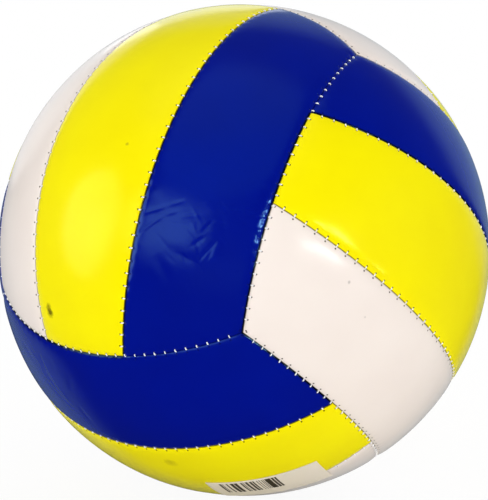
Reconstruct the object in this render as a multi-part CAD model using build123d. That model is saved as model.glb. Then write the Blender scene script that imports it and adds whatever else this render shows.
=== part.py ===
from build123d import *
import os
from math import acos, atan2, cos, degrees, radians, sin, sqrt

# A sewn volleyball of eighteen panels: six faces of three strips, laid out like the faces of a cube.
# Millimetres and degrees. The origin is the ball's centre, +Z is up and the valve looks along -X.

# The ball and how it lies: it has rolled about X, so that its front face looks upwards.
ball_diameter = 210.0
lie_roll = 38.6

# Panels, measured along the ball's surface. The edge lean is the bow of the seams between faces.
middle_width = 53.3
middle_end_width = 38.5
edge_lean = 14.5
seam_gap = 0.4

# The skin of a panel, with its edge rolled over and turned in.
skin_thickness = 1.0
fold_radius = 3.0
corner_ease = 0.6
edge_flat = 1.5

# The foam and cloth behind a panel.
backing_thickness = 2.4
glue_gap = 0.1

# The sewing thread, a cord along the bottom of each seam.
thread_diameter = 0.8
thread_clearance = 0.1
thread_margin = 5.0

# The bladder.
bladder_wall = 0.7
bladder_gap = 0.3

# The valve's rubber boot, moulded to the bladder.
boot_flange_diameter = 30.0
boot_flange_thickness = 0.9
boot_neck_diameter = 9.0
boot_sleeve_diameter = 7.6
boot_length = 24.0
valve_recess = 0.4
valve_gap = 0.3

# The valve's core, a rubber plug that pulls out of the boot.
core_diameter = 4.6
core_length = 17.0
core_tip_length = 3.0
core_tip_diameter = 2.4
core_head_diameter = 6.4
core_head_thickness = 1.2
core_clearance = 0.05
needle_diameter = 2.0
needle_depth = 15.0
needle_lead_in = 0.6

# The paper label on the bottom face: its size, and its middle's place along and across the middle panel.
label_length = 46.0
label_width = 24.0
label_thickness = 0.15
label_along = 48.0
label_across = -15.6
label_turn = -7.0

# Each face's outward side and the side where its blue panel lies. Opposite panels share a colour.
FACES = {
    "front": (Vector(0, -1, 0), Vector(1, 0, 0)),
    "right": (Vector(1, 0, 0), Vector(0, 0, 1)),
    "bottom": (Vector(0, 0, -1), Vector(0, -1, 0)),
    "back": (Vector(0, 1, 0), Vector(-1, 0, 0)),
    "left": (Vector(-1, 0, 0), Vector(0, 0, -1)),
    "top": (Vector(0, 0, 1), Vector(0, 1, 0)),
}
VALVE_FACE = "left"
LABEL_FACE = "bottom"
HALF_TURN = Rot(0, 0, 180)

# Radii from the ball's centre.
ball_radius = ball_diameter / 2
turn_in = fold_radius + edge_flat
backing_top = ball_radius - skin_thickness - glue_gap
backing_bottom = backing_top - backing_thickness
boot_room = boot_flange_thickness + glue_gap + bladder_gap
bladder_radius = min(ball_radius - turn_in - bladder_gap, backing_bottom - boot_room)

# Distances from the middle of a seam, along the surface.
wall_inset = seam_gap / 2
backing_inset = wall_inset + fold_radius + glue_gap

# The thread touches both rolled edges but for its clearance, which sets how deep it lies.
thread_reach = fold_radius + thread_diameter / 2 + thread_clearance
thread_rise = sqrt(thread_reach**2 - (fold_radius + wall_inset) ** 2)
thread_circle = ball_radius - fold_radius + thread_rise


# A face is drawn with its strips along X, stacked along Y, and Z outwards. Every seam is a circle on
# the ball: an axis from the centre, and the share of the radius at which the circle's plane cuts it.
ALONG, ACROSS, OUT = Vector(1, 0, 0), Vector(0, 1, 0), Vector(0, 0, 1)
lean = radians(edge_lean)
corner = 1 / sqrt(3)
edge_cut = corner * (cos(lean) - sin(lean))
edge_axis = ACROSS * cos(lean) - OUT * sin(lean)
end_axis = OUT * cos(lean) - ALONG * sin(lean)
edge_circle = ball_radius * sqrt(1 - edge_cut**2)
junction_angle = middle_end_width / 2 / edge_circle
edge_radial = OUT * cos(lean) + ACROSS * sin(lean)
corner_angle = atan2(corner, ((OUT + ACROSS) * corner).dot(edge_radial))

# The inner seam passes through the junctions at both ends and through the middle panel's waist.
end_radial = OUT * sin(lean) + ALONG * cos(lean)
end_point = end_radial * cos(junction_angle) + ACROSS * sin(junction_angle)
junction = end_axis * edge_cut + end_point * (edge_circle / ball_radius)
waist_angle = middle_width / 2 / ball_radius
waist = OUT * cos(waist_angle) + ACROSS * sin(waist_angle)
inner_tilt = atan2(waist.Y - junction.Y, waist.Z - junction.Z)
inner_axis = ACROSS * cos(inner_tilt) - OUT * sin(inner_tilt)
inner_cut = inner_axis.dot(waist)
inner_radial = OUT * cos(inner_tilt) + ACROSS * sin(inner_tilt)
inner_angle = atan2(junction.X, junction.dot(inner_radial))


def mirror_along(axis):
    return Vector(-axis.X, axis.Y, axis.Z)


def mirror_across(axis):
    return Vector(axis.X, -axis.Y, axis.Z)


# The seams round each kind of panel: axis, cut, and whether the panel lies on the axis's side.
PANEL_ENDS = [(end_axis, edge_cut, True), (mirror_along(end_axis), edge_cut, True)]
MIDDLE = PANEL_ENDS + [(inner_axis, inner_cut, False), (mirror_across(inner_axis), inner_cut, False)]
OUTER = PANEL_ENDS + [(inner_axis, inner_cut, True), (edge_axis, edge_cut, False)]


def place(face, shape):
    """Move a shape from a face's own frame to its place on the ball as it lies."""
    out, blue = FACES[face]
    return Rot(-lie_roll, 0, 0) * (Plane((0, 0, 0), x_dir=blue.cross(out), z_dir=out) * shape)


def patch(seams, radius, inset):
    """The part of a sphere inside the seams, drawn in from each of them by the inset."""
    ball = Sphere(radius, rotation=(90, 0, 0)).solid()
    for axis, cut, near in seams:
        angle = acos(cut) + (-inset if near else inset) / ball_radius
        side = Plane(origin=axis * (radius * cos(angle)), z_dir=axis if near else -axis)
        ball = ball.split(side, keep=Keep.TOP)
    return max(ball.faces().filter_by(GeomType.SPHERE), key=lambda face: face.area)


def plate(seams, radius, inset, depth):
    """A curved plate with walls square to the surface."""
    return Solid.thicken(patch(seams, radius, inset), -depth)


def rolled_plate(seams, radius, inset, depth, roll):
    """A curved plate with round corners and its outer edge rolled over."""
    body = plate(seams, radius, inset, depth)
    upright = [edge for edge in body.edges() if abs((edge @ 0).length - (edge @ 1).length) > depth / 2]
    body = fillet(upright, roll + corner_ease)
    skin = max(body.faces().filter_by(GeomType.SPHERE), key=lambda face: face.area)
    return fillet(skin.edges(), roll)


def panel_skin(seams):
    """A tray of sheet: a curved plate whose edge is rolled over and turned in along every seam."""
    outside = rolled_plate(seams, ball_radius, wall_inset, turn_in, fold_radius)
    hollow = rolled_plate(
        seams,
        ball_radius - skin_thickness,
        wall_inset + skin_thickness,
        turn_in,
        fold_radius - skin_thickness,
    )
    return (outside - hollow).solid()


def panel_backing(seams):
    """The foam and cloth pad glued inside the tray, within its turned-in edge."""
    return plate(seams, backing_top, backing_inset, backing_thickness)


def valve_hole(shape):
    """Cut the hole for the valve's neck through the middle of a middle panel."""
    return (shape - Cylinder(boot_neck_diameter / 2 + valve_gap, 2 * ball_diameter)).solid()


def thread(axis, radial, cut, end_angle):
    """A cord along one seam, seated on the two rolled edges and kept off the seam's ends."""
    circle = thread_circle * sqrt(1 - cut**2)
    half = end_angle - thread_margin / circle
    start = radial * cos(half) - ALONG * sin(half)
    seam = Plane(origin=axis * (thread_circle * cut), x_dir=start, z_dir=axis)
    turn = degrees(2 * half)
    if seam.y_dir.dot(ALONG) < 0:
        seam = Plane(origin=seam.origin, x_dir=start, z_dir=-axis)
    return (seam * Torus(circle, thread_diameter / 2, major_angle=turn, align=None)).solid()


def face_stitching():
    """The thread of one face: two inner seams and the two long seams at its edges."""
    inner = thread(inner_axis, inner_radial, inner_cut, inner_angle)
    edge = thread(edge_axis, edge_radial, edge_cut, corner_angle)
    return Compound([inner, edge, HALF_TURN * inner, HALF_TURN * edge])


def upright_cylinder(diameter, bottom, top):
    height = top - bottom
    return Pos(0, 0, bottom + height / 2) * Cylinder(diameter / 2, height)


# The valve stands on a face's middle, so heights along it are distances from the ball's centre.
valve_top = ball_radius - valve_recess
core_seat = valve_top - core_head_thickness
core_bottom = core_seat - core_length


def bladder():
    hollow = Sphere(bladder_radius) - Sphere(bladder_radius - bladder_wall)
    return (hollow - upright_cylinder(boot_sleeve_diameter + 2 * glue_gap, 0, ball_radius)).solid()


def valve_boot():
    """A round flange on the bladder, a neck out to the skin and a sleeve inwards, bored for the core."""
    flange_bottom = bladder_radius + glue_gap
    flange = Sphere(flange_bottom + boot_flange_thickness) - Sphere(flange_bottom)
    flange &= upright_cylinder(boot_flange_diameter, 0, ball_radius)
    body = flange + upright_cylinder(boot_neck_diameter, flange_bottom + boot_flange_thickness / 2, valve_top)
    body += upright_cylinder(boot_sleeve_diameter, valve_top - boot_length, valve_top - valve_recess)
    body -= upright_cylinder(core_diameter + 2 * core_clearance, 0, ball_radius)
    body -= upright_cylinder(core_head_diameter + 2 * core_clearance, core_seat - core_clearance, ball_radius)
    return body.solid()


def valve_core():
    """A headed plug with a tapered tip and a blind channel for an inflating needle."""
    body = upright_cylinder(core_head_diameter, core_seat, valve_top)
    body += upright_cylinder(core_diameter, core_bottom, core_seat)
    tip = Cone(core_tip_diameter / 2, core_diameter / 2, core_tip_length)
    body += Pos(0, 0, core_bottom - core_tip_length / 2) * tip
    body -= upright_cylinder(needle_diameter, valve_top - needle_depth, valve_top)
    lead_in = Cone(needle_diameter / 2, needle_diameter / 2 + needle_lead_in, needle_lead_in)
    body -= Pos(0, 0, valve_top - needle_lead_in / 2) * lead_in
    return body.solid()


def paper_label():
    """A thin sheet that follows the ball's surface."""
    radius = ball_radius + glue_gap + label_thickness
    sides = []
    for axis, size in ((ALONG, label_length), (ACROSS, label_width)):
        cut = sin(size / 2 / ball_radius)
        sides += [(axis, cut, False), (-axis, cut, False)]
    sides.append((OUT, 0, True))
    sheet = plate(sides, radius, 0, label_thickness)
    tilt_along = Rot(0, degrees(label_along / ball_radius), 0)
    tilt_across = Rot(-degrees(label_across / ball_radius), 0, 0)
    return tilt_along * (tilt_across * (Rot(0, 0, label_turn) * sheet))


def build():
    nodes = {}
    skins = {"middle": panel_skin(MIDDLE), "outer": panel_skin(OUTER)}
    backings = {"middle": panel_backing(MIDDLE), "outer": panel_backing(OUTER)}
    stitching = face_stitching()
    for face in FACES:
        for kind, shapes in (("panel", skins), ("backing", backings)):
            middle = valve_hole(shapes["middle"]) if face == VALVE_FACE else shapes["middle"]
            nodes[f"{face}_blue_{kind}"] = place(face, shapes["outer"])
            nodes[f"{face}_yellow_{kind}"] = place(face, middle)
            nodes[f"{face}_white_{kind}"] = place(face, HALF_TURN * shapes["outer"])
        nodes[f"{face}_stitching"] = place(face, stitching)
    nodes["bladder"] = place(VALVE_FACE, bladder())
    nodes["valve_boot"] = place(VALVE_FACE, valve_boot())
    nodes["valve_core"] = place(VALVE_FACE, valve_core())
    nodes["paper_label"] = place(LABEL_FACE, paper_label())
    return nodes


os.makedirs("parts", exist_ok=True)
for name, shape in build().items():
    export_step(shape, f"parts/{name}.step")
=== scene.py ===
from math import acos, asin, atan2, ceil, cos, floor, pi, radians, sin, sqrt, tan

import bpy
import numpy as np
from mathutils import Matrix, Vector


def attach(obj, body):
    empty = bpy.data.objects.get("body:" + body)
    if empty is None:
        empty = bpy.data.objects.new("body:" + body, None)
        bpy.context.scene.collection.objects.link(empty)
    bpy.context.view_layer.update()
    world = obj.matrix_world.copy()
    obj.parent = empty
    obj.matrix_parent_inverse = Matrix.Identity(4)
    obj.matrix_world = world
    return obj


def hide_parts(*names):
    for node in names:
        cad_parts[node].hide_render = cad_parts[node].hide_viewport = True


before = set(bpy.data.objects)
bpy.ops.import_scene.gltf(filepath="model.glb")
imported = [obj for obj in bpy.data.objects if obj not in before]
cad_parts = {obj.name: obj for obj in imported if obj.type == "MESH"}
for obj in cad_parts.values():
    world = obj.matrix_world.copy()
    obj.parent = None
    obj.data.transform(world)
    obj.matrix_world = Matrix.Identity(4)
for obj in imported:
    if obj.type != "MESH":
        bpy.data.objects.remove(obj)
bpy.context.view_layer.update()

# A sewn volleyball of eighteen glossy panels. Metres, in the part's own frame: the origin is the
# ball's centre, +Z is up and the valve looks along -X.
MM = 0.001

# The ball, how it lies, and the layout of its seams, as in the part.
BALL_RADIUS = 105.0 * MM
LIE_ROLL = radians(38.6)
MIDDLE_WIDTH = 53.3 * MM
MIDDLE_END_WIDTH = 38.5 * MM
EDGE_LEAN = radians(14.5)
SEAM_HALF_GAP = 0.03 * MM

# Each face's outward side and the side where its blue panel lies, before the ball rolls.
FACES = {
    "front": ((0, -1, 0), (1, 0, 0)),
    "right": ((1, 0, 0), (0, 0, 1)),
    "bottom": ((0, 0, -1), (0, -1, 0)),
    "back": ((0, 1, 0), (-1, 0, 0)),
    "left": ((-1, 0, 0), (0, 0, -1)),
    "top": ((0, 0, 1), (0, 1, 0)),
}
VALVE_FACE = "left"
LABEL_FACE = "bottom"

# The mesh of a panel: spacing of its points, the depth of its turned-in edge, and the extra rows
# of points near a seam, by their distance from it.
PANEL_SPACING = 0.75 * MM
CREASED_SPACING = 0.4 * MM
TURN_IN = 3.4 * MM
EDGE_ROWS = [row * MM for row in (0.0, 0.03, 0.1, 0.22, 0.4, 0.65, 1.0, 1.4, 1.9, 2.4)]

# The relief of a panel: how its edge dips to the seam, deeper between two faces than within one,
# how each stitch pulls it in, and its slow waves, with the level of their noise that counts as flat.
EDGE_DIP = 1.1 * MM
INNER_DIP = 0.75 * MM
WAVE_MIDDLE = 0.55
RELIEF_SIZES = {
    "Dip Reach": 9.0 * MM,
    "Edge Dip": EDGE_DIP,
    "Corner Blend": 0.2 * MM,
    "Pucker Reach": 4.5 * MM,
    "Pucker Depth": 0.035 * MM,
    "Wave Size": 24.0 * MM,
    "Wave Height": 0.14 * MM,
    "Seed": 3.0,
}

# The dip as drawn: its depth, as a share, over the distance from the seam, as a share of its reach.
DIP_CURVE = [
    (0.0, 1.0), (0.006, 0.925), (0.05, 0.712), (0.10, 0.544), (0.15, 0.419), (0.211, 0.308),
    (0.278, 0.224), (0.356, 0.155), (0.467, 0.088), (0.60, 0.040), (0.756, 0.012), (1.0, 0.0),
]

# The sewing: the stitches' spacing, how far they sink, as a share of the dip, and a stitch's own sizes.
# A stitch may turn by its slack, in radians, either way, and its length varies between two shares.
INNER_PITCH = 4.55 * MM
EDGE_PITCH = 4.05 * MM
STITCH_END_MARGIN = 2.2 * MM
STITCH_SINK = 0.5
STITCH_SLACK = 0.12
STITCH_SHARES = (0.86, 1.08)
STITCH_STEPS = 5
THREAD_SIDES = 6
STITCH_SIZES = {
    "Length": 0.9 * MM,
    "Shift": 0.42 * MM,
    "Bow": 0.35 * MM,
    "Slant": radians(8.0),
    "Thread Diameter": 0.5 * MM,
}

# The way a seam runs beside a yellow panel sets whether its stitches show inside or outside that panel.
INSIDE_HEADING = -1
OUTSIDE_HEADING = 1
OUTSIDE_STITCHED_FACE = "bottom"

# The needle holes, painted dark as the shade in them, and the darkening in the seams, which is painted
# shade with some dirt. Rim and core are the shares of a mark's size between which it fades in.
NEEDLE_HOLE_INSET = 0.95 * MM
NEEDLE_HOLE_SIZE = 0.3 * MM
NEEDLE_HOLE_DEPTH = 0.3 * MM
NEEDLE_HOLE_RIM = 1.3
NEEDLE_HOLE_CORE = 0.6
SEAM_SHADE_AND_DIRT_REACH = 0.25 * MM
SEAM_SHADE_AND_DIRT_CORE = 0.4

# The valve's hole, and the label: its size and its middle's place along and across its face.
VALVE_HOLE_RADIUS = 4.8 * MM
LABEL_LENGTH = 46.0 * MM
LABEL_WIDTH = 24.0 * MM
LABEL_THICKNESS = 0.15 * MM
LABEL_LIFT = 0.12 * MM
LABEL_ALONG = 48.0 * MM
LABEL_ACROSS = -15.6 * MM
LABEL_TURN = radians(-7.0)
LABEL_SPACING = 1.0 * MM

# The print: plain bars of one width, a share of them left blank at random, in a block of the label.
BAR_WIDTH = 0.33 * MM
BLANK_BARS = 0.36
BAR_BLOCK = {"X": (0.11, 0.62), "Y": (0.42, 0.94)}

# Creases of two blue panels, in millimetres: from and to, each along and across the face, then width
# and depth, where a negative depth is a ridge. A crease's ends keep a share of its depth.
CREASE_END_SHARE = 0.15
CREASES = {
    "front_blue": [
        ((46.3, 25.8), (38.1, 34.8), 0.65, 0.16),
        ((38.1, 34.8), (35.7, 39.7), 0.65, 0.11),
        ((39.2, 25.8), (34.7, 35.3), 0.65, 0.13),
        ((34.7, 35.3), (31.3, 41.6), 0.65, 0.09),
        ((53.4, 49.0), (44.2, 54.8), 0.72, 0.21),
        ((42.7, 48.6), (37.0, 52.4), 0.65, 0.13),
        ((48.4, 45.8), (43.9, 50.5), 0.65, 0.13),
        ((53.7, 51.6), (47.0, 53.8), 0.65, 0.13),
        ((27.9, 61.4), (33.5, 62.9), 0.59, -0.07),
        ((20.1, 71.1), (54.0, 68.8), 4.5, 0.25),
        ((27.9, 64.1), (24.1, 66.8), 0.59, -0.05),
    ],
    "bottom_blue": [
        ((-51.7, 59.6), (-40.1, 53.1), 1.3, 0.12),
        ((-34.3, 63.1), (-29.5, 53.7), 1.1, 0.10),
        ((-31.4, 54.7), (-24.2, 45.9), 1.4, 0.12),
        ((-24.0, 50.7), (-17.8, 42.4), 1.2, -0.08),
        ((-12.8, 44.5), (-8.4, 35.7), 1.1, 0.10),
    ],
}

# Crumpled patches of many small creases on the same panels, also in millimetres, with the creases'
# main heading in degrees from along the face to across it.
CRUMPLES = {
    "front_blue": [
        dict(middle=(47.6, 49.2), heading=-138.0, reach=12.0, count=34, width=0.55, depth=0.06, seed=5),
        dict(middle=(44.5, 46.8), heading=-137.3, reach=18.0, count=14, width=2.2, depth=0.14, seed=8),
        dict(middle=(35.6, 68.7), heading=90.0, reach=18.0, count=60, width=0.5, depth=0.06, seed=11),
    ],
    "bottom_blue": [
        dict(middle=(-30.2, 51.4), heading=-46.8, reach=22.0, count=24, width=1.3, depth=0.07, seed=21),
    ],
}

# How the small creases of a patch differ: the mean and spread of their way forwards and sideways, half
# their length in times 1 mm more than their width, and their width and depth in times the patch's own.
CRUMPLE_FORWARDS = (1.0, 0.3)
CRUMPLE_SIDEWAYS = (0.0, 0.4)
CRUMPLE_HALF_LENGTHS = (1.5, 4.0)
CRUMPLE_WIDTHS = (0.8, 1.25)
CRUMPLE_DEPTHS = (-0.8, 1.2)


def face_turn(face):
    """The turn from a face's own frame, X along its strips, Y to its blue side, Z out, to the ball's."""
    out, blue = (Vector(side) for side in FACES[face])
    upright = Matrix((blue.cross(out), blue, out)).transposed()
    return np.array(Matrix.Rotation(-LIE_ROLL, 3, "X") @ upright)


def blue_end(face):
    """The end of a face's blue edge, 1 or -1 along its strips, where it meets the next blue panel."""
    out, blue = (Vector(side) for side in FACES[face])
    next_blue = next(Vector(sides[1]) for sides in FACES.values() if Vector(sides[0]) == blue)
    return blue.cross(out).dot(next_blue)


def ball_points(along_gap, across_gap):
    """Unit points in a face's frame, by their distances from its middle along and across its strips."""
    x, y = np.asarray(along_gap) / BALL_RADIUS, np.asarray(across_gap) / BALL_RADIUS
    return np.stack([np.sin(x) * np.cos(y), np.sin(y), np.cos(x) * np.cos(y)], axis=-1)


# Seams are circles on the ball, each with an axis tilted about X and an angle off its great circle. Three
# faces meet at each corner of a cube inside the ball.
corner = 1 / sqrt(3)
edge_angle = asin(corner * (cos(EDGE_LEAN) - sin(EDGE_LEAN)))
edge_circle = BALL_RADIUS * cos(edge_angle)
junction_turn = MIDDLE_END_WIDTH / 2 / edge_circle
end_axis = np.array([-sin(EDGE_LEAN), 0, cos(EDGE_LEAN)])
end_radial = np.array([cos(EDGE_LEAN), 0, sin(EDGE_LEAN)])
across = np.array([0.0, 1.0, 0.0])
along = np.array([1.0, 0.0, 0.0])
junction = end_axis * sin(edge_angle) + cos(edge_angle) * (
    end_radial * cos(junction_turn) + across * sin(junction_turn)
)
waist_angle = MIDDLE_WIDTH / 2 / BALL_RADIUS
inner_tilt = atan2(sin(waist_angle) - junction[1], cos(waist_angle) - junction[2])
inner_angle = waist_angle - inner_tilt
INNER_SEAM = (inner_tilt, inner_angle)
OPPOSITE_INNER_SEAM = (-inner_tilt, -inner_angle)
EDGE_SEAM = (EDGE_LEAN, edge_angle)


def pitch_of(seam):
    """The distance between stitches, which are closer together between faces."""
    return EDGE_PITCH if seam == EDGE_SEAM else INNER_PITCH


def dip_of(seam):
    """How deep the panels dip to a seam."""
    return EDGE_DIP if seam == EDGE_SEAM else INNER_DIP


def seam_axes(tilt):
    """A seam circle's axis and the direction from that axis to the circle's middle."""
    return np.array([0, cos(tilt), -sin(tilt)]), np.array([0, sin(tilt), cos(tilt)])


def seam_points(seam, turns):
    """Points on the unit ball along a seam circle, by their turn from its middle."""
    tilt, angle = seam
    axis, radial = seam_axes(tilt)
    turns = np.asarray(turns)[..., None]
    return axis * sin(angle) + cos(angle) * (radial * np.cos(turns) + along * np.sin(turns))


def end_turn(seam, inset):
    """The turn at which a seam circle meets the face's end seam, drawn in by an inset."""
    tilt, angle = seam
    cut = sin(edge_angle + inset / BALL_RADIUS)
    level = cos(angle) * cos(EDGE_LEAN) * cos(tilt)
    slope = -cos(angle) * sin(EDGE_LEAN)
    rest = cut + sin(angle) * sin(tilt) * cos(EDGE_LEAN)
    return atan2(slope, level) + acos(rest / sqrt(level**2 + slope**2))


def seam_gap_and_run(points, seam):
    """Each point's distance from a seam, and its place along it from its middle, counted in stitches."""
    tilt, angle = seam
    axis, radial = seam_axes(tilt)
    gap = np.abs(np.arcsin(np.clip(points @ axis, -1, 1)) - angle) * BALL_RADIUS
    run = np.arctan2(points @ along, points @ radial) * BALL_RADIUS * cos(angle)
    return gap, run / pitch_of(seam)


def end_gap_and_run(points):
    """Each point's distance from the nearer end seam, and its place along it, counted in stitches."""
    folded = points * np.array([0, 1, 1]) + np.abs(points[:, :1]) * along
    gap = np.abs(np.arcsin(np.clip(folded @ end_axis, -1, 1)) - edge_angle) * BALL_RADIUS
    run = np.arctan2(folded @ across, folded @ end_radial) * edge_circle
    return gap, run / EDGE_PITCH


# Creases.
def crumple(middle, heading, reach, count, width, depth, seed):
    """A crumpled patch: short shallow creases at random round a place, mostly along one heading."""
    rng = np.random.default_rng(seed)
    out = ball_points(*np.multiply(middle, MM))
    forward = np.cross(across, out)
    forward /= np.linalg.norm(forward)
    slant = forward * cos(radians(heading)) + np.cross(out, forward) * sin(radians(heading))
    level = np.cross(out, slant)
    creases = []
    for _ in range(count):
        place = out + (slant * rng.normal() + level * rng.normal()) * reach * MM / BALL_RADIUS / 2
        way = slant * rng.normal(*CRUMPLE_FORWARDS) + level * rng.normal(*CRUMPLE_SIDEWAYS)
        half = way * rng.uniform(*CRUMPLE_HALF_LENGTHS) * (1 + width) * MM / BALL_RADIUS
        own_width = width * MM * rng.uniform(*CRUMPLE_WIDTHS)
        own_depth = depth * MM * rng.uniform(*CRUMPLE_DEPTHS)
        creases.append((place - half, place + half, own_width, own_depth))
    return creases


def panel_creases(panel):
    """All creases of a panel: the directions where each starts and ends, its width and its depth."""
    creases = []
    for start, end, width, depth in CREASES.get(panel, ()):
        places = (ball_points(*np.multiply(place, MM)) for place in (start, end))
        creases.append((*places, width * MM, depth * MM))
    for patch in CRUMPLES.get(panel, ()):
        creases += crumple(**patch)
    return creases


def crease_depth(points, start, end, width, depth):
    """How deep a tapered crease between two directions presses into points on the unit ball."""
    start, end = (side / np.linalg.norm(side) for side in (start, end))
    line = end - start
    share = np.clip((points - start) @ line / (line @ line), 0, 1)
    away = np.linalg.norm(points - start - share[:, None] * line, axis=1) * BALL_RADIUS
    taper = np.clip(4 * share * (1 - share), CREASE_END_SHARE, 1)
    return depth * taper * np.exp(-((away / width) ** 2))


# The panels' meshes.
def grid_quads(rows, columns):
    """The four corners of every cell in a grid of points."""
    index = np.arange(rows * columns).reshape(rows, columns)
    corners = [index[:-1, :-1], index[:-1, 1:], index[1:, 1:], index[1:, :-1]]
    return np.stack(corners, axis=-1).reshape(-1, 4)


def panel_grid(lower, upper, spacing):
    """A panel's unit points in rows between two long seams, how deep each lies below the ball where the
    edge is turned in, and the numbers of rows and columns."""
    insets = np.array([SEAM_HALF_GAP] + [SEAM_HALF_GAP + row for row in EDGE_ROWS])
    depths = np.array([TURN_IN] + [0.0] * len(EDGE_ROWS))
    rows = [((lower[0], lower[1] + inset / BALL_RADIUS), depth) for inset, depth in zip(insets, depths)]
    last = [((upper[0], upper[1] - inset / BALL_RADIUS), depth) for inset, depth in zip(insets, depths)]
    (low_tilt, low_angle), (high_tilt, high_angle) = rows[-1][0], last[-1][0]
    count = ceil((high_tilt + high_angle - low_tilt - low_angle) * BALL_RADIUS / spacing)
    for share in np.arange(1, count) / count:
        tilt = low_tilt + (high_tilt - low_tilt) * share
        rows.append(((tilt, low_angle + (high_angle - low_angle) * share), 0.0))
    rows += reversed(last)
    columns = ceil(2 * end_turn(rows[len(rows) // 2][0], insets[-1]) * BALL_RADIUS / spacing)
    inner_share = np.arange(1, columns) / columns * 2 - 1
    end_drop = np.concatenate([depths, np.zeros(columns - 1), depths[::-1]])
    unit, drop = [], []
    for seam, depth in rows:
        ends = np.array([end_turn(seam, inset) for inset in insets])
        unit.append(seam_points(seam, np.concatenate([-ends, inner_share * ends[-1], ends[::-1]])))
        drop.append(np.maximum(end_drop, depth))
    return np.concatenate(unit), np.concatenate(drop), (len(rows), len(end_drop))


def seam_values(unit, lower, upper, blue_side):
    """Each point's distances from the seams and places along them, for the relief and the finish.

    The gap for painted shade is the distance from the seams where a blue panel meets a paler one; the
    finish paints shade on the blue beside them. They are all but the stretch of its edge at its blue side
    and the end away from it, where it meets another blue panel."""
    low_gap, low_run = seam_gap_and_run(unit, lower)
    high_gap, high_run = seam_gap_and_run(unit, upper)
    end_gap, end_run = end_gap_and_run(unit)
    side_gap = np.minimum(low_gap, high_gap)
    painted_shade_gap = side_gap
    if upper == EDGE_SEAM:
        beside_pale = blue_side * high_run * EDGE_PITCH < MIDDLE_END_WIDTH / 2
        painted_shade_gap = np.where(beside_pale, painted_shade_gap, low_gap)
        painted_shade_gap = np.where(blue_side * unit[:, 0] > 0, np.minimum(painted_shade_gap, end_gap), painted_shade_gap)
    return {
        "side_gap": side_gap - SEAM_HALF_GAP,
        "side_run": np.where(low_gap < high_gap, low_run, high_run),
        "side_dip": np.where(low_gap < high_gap, dip_of(lower), dip_of(upper)),
        "painted_shade_gap": painted_shade_gap - SEAM_HALF_GAP,
        "end_gap": end_gap - SEAM_HALF_GAP,
        "end_run": end_run,
    }


def cut_round_hole(unit, quads, radius):
    """Take the faces out of a hole round Z, and draw the points left at its rim onto a circle."""
    distance = np.hypot(unit[:, 0], unit[:, 1])
    inside = distance[quads].min(axis=1) < radius
    rim = np.intersect1d(quads[inside], quads[~inside])
    scale = radius / distance[rim]
    unit[rim, :2] *= scale[:, None]
    unit[rim, 2] = sqrt(1 - radius**2)
    return unit, quads[~inside]


def panel_mesh(name, lower, upper, turn, hole_radius, creases, blue_side):
    """A panel's sheet on the ball, between two long seams, with what its points keep for the relief."""
    unit, drop, shape = panel_grid(lower, upper, CREASED_SPACING if creases else PANEL_SPACING)
    for crease in creases:
        drop += crease_depth(unit, *crease)
    values = {**seam_values(unit, lower, upper, blue_side), "drop": drop}
    quads = grid_quads(*shape)
    if hole_radius:
        unit, quads = cut_round_hole(unit, quads, hole_radius / BALL_RADIUS)
    mesh = bpy.data.meshes.new(name)
    mesh.from_pydata((unit @ turn.T * BALL_RADIUS).tolist(), [], quads.tolist())
    for key, value in values.items():
        mesh.attributes.new(key, "FLOAT", "POINT").data.foreach_set("value", value.astype(np.float32))
    return mesh


# Nodes, for materials and for shapes alike.
def add(tree, kind, inputs=None, **settings):
    """Add a node with its settings; an input is a plain value, a socket, or a node's first output."""
    node = tree.nodes.new(kind)
    for key, value in settings.items():
        setattr(node, key, value)
    for key, value in (inputs or {}).items():
        if isinstance(value, bpy.types.Node):
            value = next(socket for socket in value.outputs if socket.enabled)
        if isinstance(value, bpy.types.NodeSocket):
            tree.links.new(value, node.inputs[key])
        else:
            node.inputs[key].default_value = value
    return node


def linear(hex_colour):
    """An sRGB hex colour as linear red, green, blue and alpha."""
    parts = [int(hex_colour[i : i + 2], 16) / 255 for i in (1, 3, 5)]
    return tuple(p / 12.92 if p <= 0.04045 else ((p + 0.055) / 1.055) ** 2.4 for p in parts) + (1.0,)


def new_material(name):
    """An empty material, with its tree, its shader and its Object coordinates."""
    material = bpy.data.materials.new(name)
    material.use_nodes = True
    tree = material.node_tree
    tree.nodes.clear()
    shader = add(tree, "ShaderNodeBsdfPrincipled")
    add(tree, "ShaderNodeOutputMaterial", {"Surface": shader})
    place = add(tree, "ShaderNodeTexCoord").outputs["Object"]
    return material, tree, shader, place


# The finish of the sheets. The orange peel is drawn as coarse as it needs to be to show.
CLOUD_SIZE = 35.0 * MM
CLOUD_RANGE = {"From Min": 0.35, "From Max": 0.65}
GLOSS_SPREAD = 0.25
PEEL_SIZE = 7.0 * MM
PEEL_DEPTH = 0.12 * MM
SCUFF_GRAIN = 1.6 * MM
SCUFF_RIM = 1.45
SCUFF_CORE = 0.75
PVC_IOR = 1.53


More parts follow.
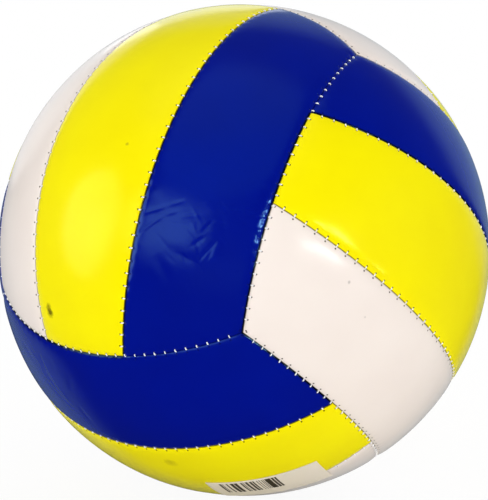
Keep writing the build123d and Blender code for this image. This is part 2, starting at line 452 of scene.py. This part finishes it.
def pvc_sheet(name, colour, shade, gloss_tint, roughness, hole_shade_colour, seam_shade_and_dirt_colour, painted_shade_colour, painted_shade_reach,
              marks=()):
    """Calendered PVC sheet over foam: an even strong colour under a clear gloss, with a faint orange peel,
    a needle hole painted dark as its shade at every stitch, and painted shade with a little dirt in the
    seams. The line is
    painted shade: a dark edge beside the seams where a blue panel meets a paler one, which on yellow and
    white is no darker than the painted shade and dirt of their seams."""
    material, tree, shader, place = new_material(name)
    cloud = add(tree, "ShaderNodeTexNoise", {"Vector": place, "Scale": 1 / CLOUD_SIZE, "Detail": 2.0})
    layers = [(add(tree, "ShaderNodeMapRange", {"Value": cloud, **CLOUD_RANGE}), shade)]

    # Needle holes and seam darkening, painted shade with some dirt in the seams, from the distances kept on
    # the panel's points.
    pitch = (INNER_PITCH + EDGE_PITCH) / 2
    holes, gaps = [], []
    for seam in ("side", "end"):
        gap = add(tree, "ShaderNodeAttribute", attribute_name=f"{seam}_gap").outputs["Fac"]
        run = add(tree, "ShaderNodeAttribute", attribute_name=f"{seam}_run").outputs["Fac"]
        share = add(tree, "ShaderNodeMath", {0: run, 1: 0.5}, operation="PINGPONG")
        beside = add(tree, "ShaderNodeMath", {0: share, 1: pitch}, operation="MULTIPLY")
        off = add(tree, "ShaderNodeMath", {0: gap, 1: NEEDLE_HOLE_INSET}, operation="SUBTRACT")
        offset = add(tree, "ShaderNodeCombineXYZ", {"X": beside, "Y": off})
        away = add(tree, "ShaderNodeVectorMath", {0: offset}, operation="LENGTH").outputs["Value"]
        rim, core = NEEDLE_HOLE_SIZE * NEEDLE_HOLE_RIM, NEEDLE_HOLE_SIZE * NEEDLE_HOLE_CORE
        fade = {"From Min": rim, "From Max": core}
        holes.append(add(tree, "ShaderNodeMapRange", {"Value": away, **fade}))
        gaps.append(gap)
    hole = add(tree, "ShaderNodeMath", {0: holes[0], 1: holes[1]}, operation="MAXIMUM")
    seam_gap = add(tree, "ShaderNodeMath", {0: gaps[0], 1: gaps[1]}, operation="MINIMUM")
    painted_shade_gap = add(tree, "ShaderNodeAttribute", attribute_name="painted_shade_gap").outputs["Fac"]
    # Painted shade: a thin dark band in every seam, with some dirt, and a wider line of shade on blue
    # beside paler panels.
    for gap, reach, dark in ((seam_gap, SEAM_SHADE_AND_DIRT_REACH, seam_shade_and_dirt_colour), (painted_shade_gap, painted_shade_reach, painted_shade_colour)):
        fade = {"From Min": reach, "From Max": SEAM_SHADE_AND_DIRT_CORE * reach}
        layers.append((add(tree, "ShaderNodeMapRange", {"Value": gap, **fade}), dark))
    # The needle holes are painted dark: painted shade for holes that are too small for the mesh.
    layers.append((hole, hole_shade_colour))

    # Scuffs and specks: ragged dark marks at given places on the ball.
    ragged = add(tree, "ShaderNodeTexNoise", {"Vector": place, "Scale": 1 / SCUFF_GRAIN, "Detail": 3.0})
    for spot, size, strength, mark_colour in marks:
        away = add(tree, "ShaderNodeVectorMath", {0: place, 1: spot}, operation="DISTANCE").outputs["Value"]
        worn = add(tree, "ShaderNodeMath", {0: ragged, 1: size, 2: away}, operation="MULTIPLY_ADD")
        fade = {"From Min": size * SCUFF_RIM, "From Max": size * SCUFF_CORE, "To Max": strength}
        layers.append((add(tree, "ShaderNodeMapRange", {"Value": worn, **fade}), mark_colour))

    # Each layer lies over those before it.
    paint = linear(colour)
    for cover, layer_colour in layers:
        sockets = {"Factor": cover, "A": paint, "B": linear(layer_colour)}
        paint = add(tree, "ShaderNodeMix", sockets, data_type="RGBA")
    tree.links.new(paint.outputs["Result"], shader.inputs["Base Color"])

    # Relief that is too fine for the mesh: orange peel and the needle holes.
    peel = add(tree, "ShaderNodeTexNoise", {"Vector": place, "Scale": 1 / PEEL_SIZE, "Detail": 2.0})
    bump = add(tree, "ShaderNodeBump", {"Height": peel, "Strength": 0.3, "Distance": PEEL_DEPTH})
    pits = {"Height": hole, "Normal": bump, "Strength": 0.8, "Distance": NEEDLE_HOLE_DEPTH}
    bump = add(tree, "ShaderNodeBump", pits, invert=True)
    tree.links.new(bump.outputs["Normal"], shader.inputs["Normal"])
    spread = {"To Min": roughness * (1 - GLOSS_SPREAD), "To Max": roughness * (1 + GLOSS_SPREAD)}
    gloss = add(tree, "ShaderNodeMapRange", {"Value": cloud, **spread})
    tree.links.new(gloss.outputs["Result"], shader.inputs["Roughness"])
    shader.inputs["Specular Tint"].default_value = linear(gloss_tint)
    shader.inputs["IOR"].default_value = PVC_IOR
    return material


def sewing_thread():
    """Twisted white polyester thread: dull, slightly fuzzy, with the twist as fine bands."""
    three_bands = 2.2 * MM
    twist_depth = 0.05 * MM
    material, tree, shader, place = new_material("polyester_thread")
    twist = add(tree, "ShaderNodeTexWave", {"Vector": place, "Scale": 1 / three_bands, "Distortion": 4.0})
    bump = add(tree, "ShaderNodeBump", {"Height": twist, "Strength": 0.4, "Distance": twist_depth})
    tree.links.new(bump.outputs["Normal"], shader.inputs["Normal"])
    shader.inputs["Base Color"].default_value = linear("#F4F4F5")
    shader.inputs["Roughness"].default_value = 0.7
    return material


def moulded_rubber(name, colour, roughness):
    """Moulded rubber: an even dull dark surface with a fine bloom."""
    bloom_size = 0.8 * MM
    bloom_depth = 0.04 * MM
    material, tree, shader, place = new_material(name)
    bloom = add(tree, "ShaderNodeTexNoise", {"Vector": place, "Scale": 1 / bloom_size, "Detail": 3.0})
    bump = add(tree, "ShaderNodeBump", {"Height": bloom, "Strength": 0.3, "Distance": bloom_depth})
    tree.links.new(bump.outputs["Normal"], shader.inputs["Normal"])
    shader.inputs["Base Color"].default_value = linear(colour)
    shader.inputs["Roughness"].default_value = roughness
    shader.inputs["IOR"].default_value = 1.52
    return material


def foam_backing():
    """Grey foam with a cloth back: soft, matt and full of small cells."""
    cell_size = 1.1 * MM
    cell_depth = 0.2 * MM
    material, tree, shader, place = new_material("foam_and_cloth")
    cells = add(tree, "ShaderNodeTexVoronoi", {"Vector": place, "Scale": 1 / cell_size}).outputs["Distance"]
    bump = add(tree, "ShaderNodeBump", {"Height": cells, "Strength": 0.6, "Distance": cell_depth})
    tree.links.new(bump.outputs["Normal"], shader.inputs["Normal"])
    shader.inputs["Base Color"].default_value = linear("#8E8B86")
    shader.inputs["Roughness"].default_value = 0.95
    return material


def label_paper():
    """Uncoated label paper: warm white and matt, with a block of plain printed bars near its upper edge."""
    fibre_size = 0.7 * MM
    fibre_depth = 0.03 * MM
    bar_count = LABEL_LENGTH / BAR_WIDTH
    material, tree, shader, place = new_material("printed_label_paper")
    sheet = add(tree, "ShaderNodeUVMap", uv_map="label").outputs["UV"]
    parts = add(tree, "ShaderNodeSeparateXYZ", {"Vector": sheet}).outputs
    step = add(tree, "ShaderNodeMath", {0: parts["X"], 1: bar_count}, operation="MULTIPLY")
    bar = add(tree, "ShaderNodeMath", {0: step}, operation="FLOOR")
    chance = add(tree, "ShaderNodeTexWhiteNoise", {"W": bar}, noise_dimensions="1D").outputs["Value"]
    block = add(tree, "ShaderNodeMath", {0: chance, 1: BLANK_BARS}, operation="GREATER_THAN")
    for axis, (low, high) in BAR_BLOCK.items():
        past = add(tree, "ShaderNodeMath", {0: parts[axis], 1: low}, operation="GREATER_THAN")
        before = add(tree, "ShaderNodeMath", {0: parts[axis], 1: high}, operation="LESS_THAN")
        both = add(tree, "ShaderNodeMath", {0: past, 1: before}, operation="MULTIPLY")
        block = add(tree, "ShaderNodeMath", {0: block, 1: both}, operation="MULTIPLY")
    colours = {"A": linear("#E4DACA"), "B": linear("#43381F")}
    ink = add(tree, "ShaderNodeMix", {"Factor": block, **colours}, data_type="RGBA")
    tree.links.new(ink.outputs["Result"], shader.inputs["Base Color"])
    fibre = add(tree, "ShaderNodeTexNoise", {"Vector": place, "Scale": 1 / fibre_size, "Detail": 4.0})
    bump = add(tree, "ShaderNodeBump", {"Height": fibre, "Strength": 0.25, "Distance": fibre_depth})
    tree.links.new(bump.outputs["Normal"], shader.inputs["Normal"])
    shader.inputs["Roughness"].default_value = 0.75
    return material


def place_on(face, along_gap, across_gap):
    """A place on the ball, by its distances in millimetres from a face's middle along and across it."""
    return tuple(face_turn(face) @ ball_points(along_gap * MM, across_gap * MM) * BALL_RADIUS)


# Scuffs and specks: place, size, strength and colour.
YELLOW_MARKS = [
    (place_on("front", 80.1, -13.7), 2.3 * MM, 0.85, "#3E3208"),
    (place_on("front", 78.0, -14.4), 1.9 * MM, 0.7, "#5A4A0C"),
    (place_on("front", 14.4, 13.3), 0.9 * MM, 0.5, "#8A7A20"),
    (place_on("bottom", 21.0, 17.3), 3.2 * MM, 0.35, "#8B7712"),
]
WHITE_MARKS = [
    (place_on("right", -55.0, -31.6), 0.8 * MM, 0.5, "#8C7F78"),
    (place_on("right", -41.6, -38.7), 0.6 * MM, 0.4, "#A0948C"),
]
# Each sheet's hole, seam and line colours are painted shade: in the needle holes, in the seams with some
# dirt, and on blue beside paler panels.
SKINS = {
    "blue": pvc_sheet(
        "blue_pvc_sheet", colour="#000E88", shade="#000B82", gloss_tint="#88CCFF", roughness=0.14,
        hole_shade_colour="#00046A", seam_shade_and_dirt_colour="#000A70", painted_shade_colour="#01030E", painted_shade_reach=0.85 * MM,
    ),
    "yellow": pvc_sheet(
        "yellow_pvc_sheet", colour="#F9EC02", shade="#F5E602", gloss_tint="#FFF970", roughness=0.17,
        hole_shade_colour="#4A3C08", seam_shade_and_dirt_colour="#8A7A12", painted_shade_colour="#8A7A12", painted_shade_reach=SEAM_SHADE_AND_DIRT_REACH,
        marks=YELLOW_MARKS,
    ),
    "white": pvc_sheet(
        "white_pvc_sheet", colour="#F2E7DF", shade="#EEE2DA", gloss_tint="#FFFFFF", roughness=0.22,
        hole_shade_colour="#40322B", seam_shade_and_dirt_colour="#B0A398", painted_shade_colour="#B0A398", painted_shade_reach=SEAM_SHADE_AND_DIRT_REACH,
        marks=WHITE_MARKS,
    ),
}
THREAD = sewing_thread()
BLADDER_RUBBER = moulded_rubber("butyl_bladder_rubber", "#1B1B1C", 0.55)
VALVE_RUBBER = moulded_rubber("moulded_valve_rubber", "#141415", 0.45)
BACKING = foam_backing()
PAPER = label_paper()


# Shape trees.
def new_tree(name, sizes, **others):
    """An empty shape tree with its sizes and other inputs by name, its group input and its group output."""
    tree = bpy.data.node_groups.new(name, "GeometryNodeTree")
    tree.interface.new_socket("Geometry", in_out="INPUT", socket_type="NodeSocketGeometry")
    for key, kind in {**dict.fromkeys(sizes, "NodeSocketFloat"), **others}.items():
        tree.interface.new_socket(key, in_out="INPUT", socket_type=kind)
    tree.interface.new_socket("Geometry", in_out="OUTPUT", socket_type="NodeSocketGeometry")
    return tree, add(tree, "NodeGroupInput").outputs, add(tree, "NodeGroupOutput")


def draw_curve(mapping, points):
    """Put a drawn curve's points into a curve node."""
    curve = mapping.curves[0]
    for x, y in points[1:-1]:
        curve.points.new(x, y)
    curve.points[0].location = points[0]
    curve.points[-1].location = points[-1]
    mapping.update()


def relief_tree():
    """Press a panel's sheet into shape: its edges turn in and dip to the seams, its creases sink, every
    stitch pulls a small dimple and the whole has slow waves."""
    tree, given, result = new_tree("panel_relief", RELIEF_SIZES, Material="NodeSocketMaterial")
    kept = {}
    for key in ("side_gap", "side_run", "side_dip", "end_gap", "end_run", "drop"):
        attribute = add(tree, "GeometryNodeInputNamedAttribute", {"Name": key}, data_type="FLOAT")
        kept[key] = attribute.outputs[0]

    # The dip follows a drawn curve over the distance from a seam.
    dips = []
    for seam, full in (("side", kept["side_dip"]), ("end", given["Edge Dip"])):
        part = {0: kept[f"{seam}_gap"], 1: given["Dip Reach"]}
        share = add(tree, "ShaderNodeMath", part, operation="DIVIDE", use_clamp=True)
        curve = add(tree, "ShaderNodeFloatCurve", {"Value": share})
        draw_curve(curve.mapping, DIP_CURVE)
        dips.append(add(tree, "ShaderNodeMath", {0: curve, 1: full}, operation="MULTIPLY"))
    both = {0: dips[0], 1: dips[1], 2: given["Corner Blend"]}
    dip = add(tree, "ShaderNodeMath", both, operation="SMOOTH_MAX")
    depth = add(tree, "ShaderNodeMath", {0: dip, 1: kept["drop"]}, operation="ADD")

    # Each stitch along a seam pulls the sheet in.
    for seam in ("side", "end"):
        angle = add(tree, "ShaderNodeMath", {0: kept[f"{seam}_run"], 1: 2 * pi}, operation="MULTIPLY")
        ripple = add(tree, "ShaderNodeMath", {0: angle}, operation="COSINE")
        fade = {"From Max": given["Pucker Reach"], "To Min": given["Pucker Depth"], "To Max": 0.0}
        near = add(tree, "ShaderNodeMapRange", {"Value": kept[f"{seam}_gap"], **fade},
                   interpolation_type="SMOOTHSTEP")
        depth = add(tree, "ShaderNodeMath", {0: ripple, 1: near, 2: depth}, operation="MULTIPLY_ADD")

    # The foam below is uneven, so that the sheet has slow waves.
    place = add(tree, "GeometryNodeInputPosition").outputs[0]
    often = add(tree, "ShaderNodeMath", {0: 1.0, 1: given["Wave Size"]}, operation="DIVIDE")
    pattern = {"Vector": place, "W": given["Seed"], "Scale": often, "Detail": 1.0}
    wave = add(tree, "ShaderNodeTexNoise", pattern, noise_dimensions="4D").outputs[0]
    centred = add(tree, "ShaderNodeMath", {0: wave, 1: WAVE_MIDDLE}, operation="SUBTRACT")
    lift = add(tree, "ShaderNodeMath", {0: centred, 1: given["Wave Height"]}, operation="MULTIPLY")
    height = add(tree, "ShaderNodeMath", {0: lift, 1: depth}, operation="SUBTRACT")
    out = add(tree, "ShaderNodeVectorMath", {0: place}, operation="NORMALIZE")
    offset = add(tree, "ShaderNodeVectorMath", {0: out, "Scale": height}, operation="SCALE")
    moved = add(tree, "GeometryNodeSetPosition", {"Geometry": given["Geometry"], "Offset": offset})
    smooth = add(tree, "GeometryNodeSetShadeSmooth", {"Geometry": moved})
    whole = add(tree, "GeometryNodeRealizeInstances", {"Geometry": smooth})
    finish = add(tree, "GeometryNodeSetMaterial", {"Geometry": whole, "Material": given["Material"]})
    tree.links.new(finish.outputs[0], result.inputs[0])
    return tree


def stitch_tree():
    """A short bent thread across a seam at every point of its curve, each a little different."""
    tree, given, result = new_tree("seam_stitches", STITCH_SIZES, Seed="NodeSocketInt",
                                   Material="NodeSocketMaterial")
    points = add(tree, "GeometryNodeCurveToPoints", {"Curve": given["Geometry"]}, mode="EVALUATED")

    # One stitch: a thread that comes up at one needle hole, crosses the seam and goes down the other.
    ends = []
    for half in (-0.5, 0.5):
        reach = {0: given["Length"], 1: half, 2: given["Shift"]}
        side = add(tree, "ShaderNodeMath", reach, operation="MULTIPLY_ADD")
        down = add(tree, "ShaderNodeMath", {0: given["Bow"], 1: -1.0}, operation="MULTIPLY")
        ends.append(add(tree, "ShaderNodeCombineXYZ", {"Y": side, "Z": down}))
    middle = add(tree, "ShaderNodeCombineXYZ", {"Y": given["Shift"], "Z": given["Bow"]})
    bend = {"Resolution": STITCH_STEPS, "Start": ends[0], "Middle": middle, "End": ends[1]}
    path = add(tree, "GeometryNodeCurveQuadraticBezier", bend)
    radius = add(tree, "ShaderNodeMath", {0: given["Thread Diameter"], 1: 0.5}, operation="MULTIPLY")
    ring = add(tree, "GeometryNodeCurvePrimitiveCircle", {"Resolution": THREAD_SIDES, "Radius": radius})
    stitch = add(tree, "GeometryNodeCurveToMesh", {"Curve": path, "Profile Curve": ring, "Fill Caps": True})

    # It stands square to the ball, a little slanted to the seam.
    place = add(tree, "GeometryNodeInputPosition").outputs[0]
    out = add(tree, "ShaderNodeVectorMath", {0: place}, operation="NORMALIZE")
    upright = {"Primary Axis": out, "Secondary Axis": points.outputs["Tangent"]}
    stand = add(tree, "FunctionNodeAxesToRotation", upright, primary_axis="Z", secondary_axis="X")
    either_way = {2: -STITCH_SLACK, 3: STITCH_SLACK, "Seed": given["Seed"]}
    slack = add(tree, "FunctionNodeRandomValue", either_way, data_type="FLOAT")
    lean = add(tree, "ShaderNodeMath", {0: slack.outputs[1], 1: given["Slant"]}, operation="ADD")
    spin = add(tree, "FunctionNodeAxisAngleToRotation", {"Axis": (0, 0, 1), "Angle": lean})
    turned = add(tree, "FunctionNodeRotateRotation", {"Rotation": stand, "Rotate By": spin},
                 rotation_space="LOCAL")
    shares = {2: STITCH_SHARES[0], 3: STITCH_SHARES[1], "Seed": given["Seed"]}
    length = add(tree, "FunctionNodeRandomValue", shares, data_type="FLOAT").outputs[1]
    each = {"Points": points, "Instance": stitch, "Rotation": turned, "Scale": length}
    row = add(tree, "GeometryNodeInstanceOnPoints", each)
    whole = add(tree, "GeometryNodeRealizeInstances", {"Geometry": row})
    smooth = add(tree, "GeometryNodeSetShadeSmooth", {"Geometry": whole})
    finish = add(tree, "GeometryNodeSetMaterial", {"Geometry": smooth, "Material": given["Material"]})
    tree.links.new(finish.outputs[0], result.inputs[0])
    return tree


def made_by(tree, name, data, inputs):
    """Run a shape tree on some data and keep the result as a plain mesh object."""
    source = bpy.data.objects.new(f"{name}.source", data)
    bpy.context.collection.objects.link(source)
    modifier = source.modifiers.new(tree.name, "NODES")
    modifier.node_group = tree
    for item in tree.interface.items_tree:
        if item.in_out == "INPUT" and item.name in inputs:
            modifier[item.identifier] = inputs[item.name]
    evaluated = source.evaluated_get(bpy.context.evaluated_depsgraph_get())
    piece = bpy.data.objects.new(name, bpy.data.meshes.new_from_object(evaluated))
    bpy.data.objects.remove(source)
    bpy.context.collection.objects.link(piece)
    return piece


# The pieces.
def seam_curves(name, turn, inner_heading):
    """A face's four seams as curves, sunk to where the thread lies, with a point for every stitch.

    A stitch shows on the curve's left: inside or outside the yellow panel by its heading, and outside the
    face's edge."""
    curve = bpy.data.curves.new(name, "CURVE")
    curve.dimensions = "3D"
    for seam, heading in ((INNER_SEAM, inner_heading), (EDGE_SEAM, 1)):
        circle = BALL_RADIUS * cos(seam[1])
        count = floor((end_turn(seam, 0.0) * circle - STITCH_END_MARGIN) / pitch_of(seam))
        turns = heading * np.arange(-count, count + 1) * pitch_of(seam) / circle
        points = seam_points(seam, turns) * (BALL_RADIUS - dip_of(seam) * STITCH_SINK)
        for facing in (1, -1):
            spline = curve.splines.new("POLY")
            spline.points.add(len(points) - 1)
            placed = (points * np.array([facing, facing, 1])) @ turn.T
            spline.points.foreach_set("co", np.hstack([placed, np.ones((len(points), 1))]).ravel())
    return curve


def label_sheet():
    """The paper label, a thin sheet that follows the ball, with its own flat map for the print."""
    columns, rows = ceil(LABEL_LENGTH / LABEL_SPACING), ceil(LABEL_WIDTH / LABEL_SPACING)
    grid = np.meshgrid(np.linspace(0, 1, columns + 1), np.linspace(0, 1, rows + 1))
    u, v = (part.ravel() for part in grid)
    flat = ball_points((u - 0.5) * LABEL_LENGTH, (v - 0.5) * LABEL_WIDTH)
    along_turn = Matrix.Rotation(LABEL_ALONG / BALL_RADIUS, 3, "Y")
    across_turn = Matrix.Rotation(-LABEL_ACROSS / BALL_RADIUS, 3, "X")
    own_turn = along_turn @ across_turn @ Matrix.Rotation(LABEL_TURN, 3, "Z")
    turn = face_turn(LABEL_FACE) @ np.array(own_turn)
    points = flat @ turn.T * (BALL_RADIUS + LABEL_LIFT + LABEL_THICKNESS)
    quads = grid_quads(rows + 1, columns + 1)
    mesh = bpy.data.meshes.new("label_sheet")
    mesh.from_pydata(points.tolist(), [], quads.tolist())
    flat_map = mesh.uv_layers.new(name="label")
    flat_map.data.foreach_set("uv", np.stack([u, v], axis=1)[quads.ravel()].ravel())
    mesh.shade_smooth()
    mesh.materials.append(PAPER)
    sheet = bpy.data.objects.new("label_sheet", mesh)
    bpy.context.collection.objects.link(sheet)
    solidify = sheet.modifiers.new("thickness", "SOLIDIFY")
    solidify.thickness = LABEL_THICKNESS
    return sheet


def dress(piece, slot, *nodes):
    """Hang a finished piece on the ball in place of its nodes."""
    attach(piece, "ball")
    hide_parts(*nodes)


relief = relief_tree()
stitches = stitch_tree()
half_turn = np.diag([-1.0, -1.0, 1.0])
for number, face in enumerate(FACES):
    turn = face_turn(face)
    valve_hole = VALVE_HOLE_RADIUS if face == VALVE_FACE else 0.0
    strips = {
        "blue": (INNER_SEAM, EDGE_SEAM, turn, 0.0),
        "yellow": (OPPOSITE_INNER_SEAM, INNER_SEAM, turn, valve_hole),
        "white": (INNER_SEAM, EDGE_SEAM, turn @ half_turn, 0.0),
    }
    for colour, (lower, upper, place, hole) in strips.items():
        panel = f"{face}_{colour}"
        creases = panel_creases(panel)
        sheet = panel_mesh(f"{panel}_sheet", lower, upper, place, hole, creases, blue_end(face))
        skin = made_by(relief, f"{panel}_skin", sheet, {**RELIEF_SIZES, "Material": SKINS[colour]})
        dress(skin, f"{colour}_skin", f"{panel}_panel")
    heading = OUTSIDE_HEADING if face == OUTSIDE_STITCHED_FACE else INSIDE_HEADING
    seams = seam_curves(f"{face}_seams", turn, heading)
    stitch_inputs = {**STITCH_SIZES, "Seed": number, "Material": THREAD}
    sewing = made_by(stitches, f"{face}_stitches", seams, stitch_inputs)
    dress(sewing, "sewing_thread", f"{face}_stitching")
dress(label_sheet(), "label_paper", "paper_label")

# Finishes of the solids. Of those that no piece replaces, the valve shows and the rest lie inside.
for name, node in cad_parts.items():
    inside = BACKING if name.endswith("_backing") else BLADDER_RUBBER
    node.data.materials[0] = VALVE_RUBBER if name.startswith("valve") else inside

# The camera at the photograph's viewing angle. The image is 488 by 500 pixels.
IMAGE_HEIGHT = 500
BALL_PIXELS = 246.0
CAMERA_AZIMUTH = radians(35.66)
CAMERA_ELEVATION = radians(10.59)
CAMERA_DISTANCE = 4.424 * BALL_RADIUS
CAMERA_CLIP = 10.0 * MM
SENSOR = 36.0
view_out = Vector((
    cos(CAMERA_ELEVATION) * sin(CAMERA_AZIMUTH),
    -cos(CAMERA_ELEVATION) * cos(CAMERA_AZIMUTH),
    sin(CAMERA_ELEVATION),
))
view_right = Vector((cos(CAMERA_AZIMUTH), sin(CAMERA_AZIMUTH), 0))
view_up = view_right.cross(-view_out)
camera = bpy.data.objects.new("camera", bpy.data.cameras.new("camera"))
camera.location = view_out * CAMERA_DISTANCE
camera.rotation_euler = (-view_out).to_track_quat("-Z", "Y").to_euler()
camera.data.sensor_width = SENSOR
camera.data.lens = SENSOR * BALL_PIXELS / IMAGE_HEIGHT / tan(asin(BALL_RADIUS / CAMERA_DISTANCE))
camera.data.clip_start = CAMERA_CLIP
bpy.context.collection.objects.link(camera)
bpy.context.scene.camera = camera


def seen_at(right, up, towards):
    """A direction from the ball, by its parts to the camera's right, up and towards the camera."""
    return (view_right * right + view_up * up + view_out * towards).normalized()


def soft_lamp(name, direction, distance, width, height, watts, in_gloss):
    """A round or oval area lamp that looks at the ball."""
    lamp = bpy.data.objects.new(name, bpy.data.lights.new(name, "AREA"))
    lamp.data.shape = "ELLIPSE"
    lamp.data.size, lamp.data.size_y, lamp.data.energy = width, height, watts
    lamp.location = direction * distance
    lamp.rotation_euler = (-direction).to_track_quat("-Z", "Y").to_euler()
    lamp.visible_glossy = in_gloss
    bpy.context.collection.objects.link(lamp)


# Soft light. Each lamp has its direction, its distance, width and height in metres and its watts, and shows
# in the gloss or lights only the matt colour.
IN_GLOSS, MATT_ONLY = True, False
LAMPS = {
    # A window on the left, and a pale wall beside it that fades out in three steps.
    "window": (seen_at(-0.92, 0.17, 0.36), 1.0, 0.50, 0.66, 1.5, IN_GLOSS),
    "window_middle": (seen_at(-0.90, 0.12, 0.42), 1.0, 0.22, 0.30, 0.15, IN_GLOSS),
    "pale_wall": (seen_at(-0.55, 0.16, 0.82), 1.0, 0.46, 0.30, 0.22, IN_GLOSS),
    "pale_wall_rim": (seen_at(-0.55, 0.16, 0.82), 1.01, 0.62, 0.42, 0.34, IN_GLOSS),
    "pale_wall_edge": (seen_at(-0.55, 0.16, 0.82), 1.02, 0.80, 0.56, 0.38, IN_GLOSS),
    # Small lamps on the right, which give sharp glints.
    "small_lamp": (seen_at(0.58, 0.06, 0.81), 1.0, 0.10, 0.09, 0.70, IN_GLOSS),
    "small_lamp_left": (seen_at(0.46, 0.05, 0.886), 1.0, 0.08, 0.08, 0.40, IN_GLOSS),
    "small_lamp_right": (seen_at(0.64, 0.0, 0.77), 1.0, 0.08, 0.08, 0.40, IN_GLOSS),
    "low_lamp": (seen_at(0.78, -0.19, 0.58), 1.0, 0.08, 0.06, 0.16, IN_GLOSS),
    # Large even light.
    "ceiling": (seen_at(-0.1, 0.95, 0.25), 1.3, 1.4, 1.4, 5.7, MATT_ONLY),
    "front_fill": (seen_at(-0.12, 0.06, 0.95), 1.5, 1.2, 1.0, 3.4, MATT_ONLY),
    "low_fill": (seen_at(-0.08, -0.18, 0.98), 1.2, 1.2, 0.18, 1.4, MATT_ONLY),
    "left_fill": (seen_at(-0.95, 0.10, 0.20), 1.4, 1.2, 1.0, 1.5, MATT_ONLY),
    "side_fill": (seen_at(0.88, 0.10, 0.40), 1.4, 1.2, 1.0, 2.6, MATT_ONLY),
    # Light from behind, for the pale rim.
    "back_wall": (seen_at(-0.14, 0.57, -0.81), 1.4, 0.7, 0.45, 0.55, IN_GLOSS),
    "back_fill": (seen_at(0.52, 0.54, -0.67), 1.4, 1.2, 1.0, 12.5, MATT_ONLY),
    "back_window": (seen_at(-0.50, 0.46, -0.73), 1.4, 0.9, 0.9, 1.4, IN_GLOSS),
}
for name, settings in LAMPS.items():
    soft_lamp(name, *settings)

# The room: white to the camera, even and pale on matt surfaces. The gloss sees it dark, in the tint of
# daylight, with zones of other brightness. Each zone lies round a direction, over the zones before it, and
# fades in between two angles, in degrees.
ROOM_LIGHT = 0.32
DAYLIGHT = "#C4E8FF"
WHITE = "#FFFFFF"
GLOSS_DARK = 0.03
GLOSS_ZONES = {
    "above": (view_up, 98, 86, 0.10),
    "front_top": (seen_at(-0.10, 0.82, 0.57), 40, 26, 0.36),
    "round_the_camera": (seen_at(0.25, -0.12, 1.0), 38, 22, 0.02),
    "behind": (-view_out, 44, 31, 0.28),
    "low_behind": (seen_at(-0.30, -0.34, -0.89), 28, 12, 0.09),
    "left_behind": (seen_at(-0.68, -0.28, -0.68), 30, 8, 0.32),
    "high_behind": (seen_at(0.08, 0.60, -0.80), 30, 10, 0.40),
    "right_behind": (seen_at(0.57, 0.33, -0.75), 26, 8, 0.48),
}
world = bpy.data.worlds.new("room")
bpy.context.scene.world = world
world.use_nodes = True
room = world.node_tree
room.nodes.clear()
ray = add(room, "ShaderNodeLightPath").outputs
way = add(room, "ShaderNodeTexCoord").outputs["Generated"]
gloss = GLOSS_DARK
for side, start, end, brightness in GLOSS_ZONES.values():
    facing = add(room, "ShaderNodeVectorMath", {0: way, 1: tuple(side)}, operation="DOT_PRODUCT")
    fade = {"From Min": cos(radians(start)), "From Max": cos(radians(end))}
    share = add(room, "ShaderNodeMapRange", {"Value": facing.outputs["Value"], **fade},
                interpolation_type="SMOOTHSTEP")
    gloss = add(room, "ShaderNodeMix", {"Factor": share, "A": gloss, "B": brightness}, data_type="FLOAT")
plain = add(room, "ShaderNodeMix", {"Factor": ray["Is Camera Ray"], "A": ROOM_LIGHT, "B": 1.0},
            data_type="FLOAT")
level = add(room, "ShaderNodeMix", {"Factor": ray["Is Glossy Ray"], "A": plain, "B": gloss},
            data_type="FLOAT")
tints = {"A": linear(WHITE), "B": linear(DAYLIGHT)}
tint = add(room, "ShaderNodeMix", {"Factor": ray["Is Glossy Ray"], **tints}, data_type="RGBA")
glow = add(room, "ShaderNodeBackground", {"Color": tint.outputs["Result"], "Strength": level})
add(room, "ShaderNodeOutputWorld", {"Surface": glow})


# The floor, in metres, and the share of it that the camera sees as plain white.
FLOOR_SIZE = 1.8
FLOOR_PLAIN_SHARE = 0.93


def white_card():
    """Matt white card: plain white to the camera but for a small share, which keeps the ball's shadow."""
    material = bpy.data.materials.new("matt_white_card")
    material.use_nodes = True
    tree = material.node_tree
    tree.nodes.clear()
    matt = add(tree, "ShaderNodeBsdfDiffuse", {"Color": linear("#F4F4F4")})
    white = add(tree, "ShaderNodeEmission", {"Color": linear(WHITE), "Strength": 1.0})
    ray = add(tree, "ShaderNodeLightPath").outputs
    seen = {0: ray["Is Camera Ray"], 1: FLOOR_PLAIN_SHARE}
    share = add(tree, "ShaderNodeMath", seen, operation="MULTIPLY")
    mixed = add(tree, "ShaderNodeMixShader", {0: share, 1: matt, 2: white})
    add(tree, "ShaderNodeOutputMaterial", {"Surface": mixed})
    return material


reach = FLOOR_SIZE / 2
floor_corners = [(x * reach, y * reach, -BALL_RADIUS) for x, y in ((-1, -1), (1, -1), (1, 1), (-1, 1))]
floor_mesh = bpy.data.meshes.new("floor")
floor_mesh.from_pydata(floor_corners, [], [(0, 1, 2, 3)])
floor_mesh.materials.append(white_card())
floor_piece = bpy.data.objects.new("floor", floor_mesh)
floor_piece.visible_glossy = False
bpy.context.collection.objects.link(floor_piece)

bpy.context.scene.view_settings.view_transform = "Standard"
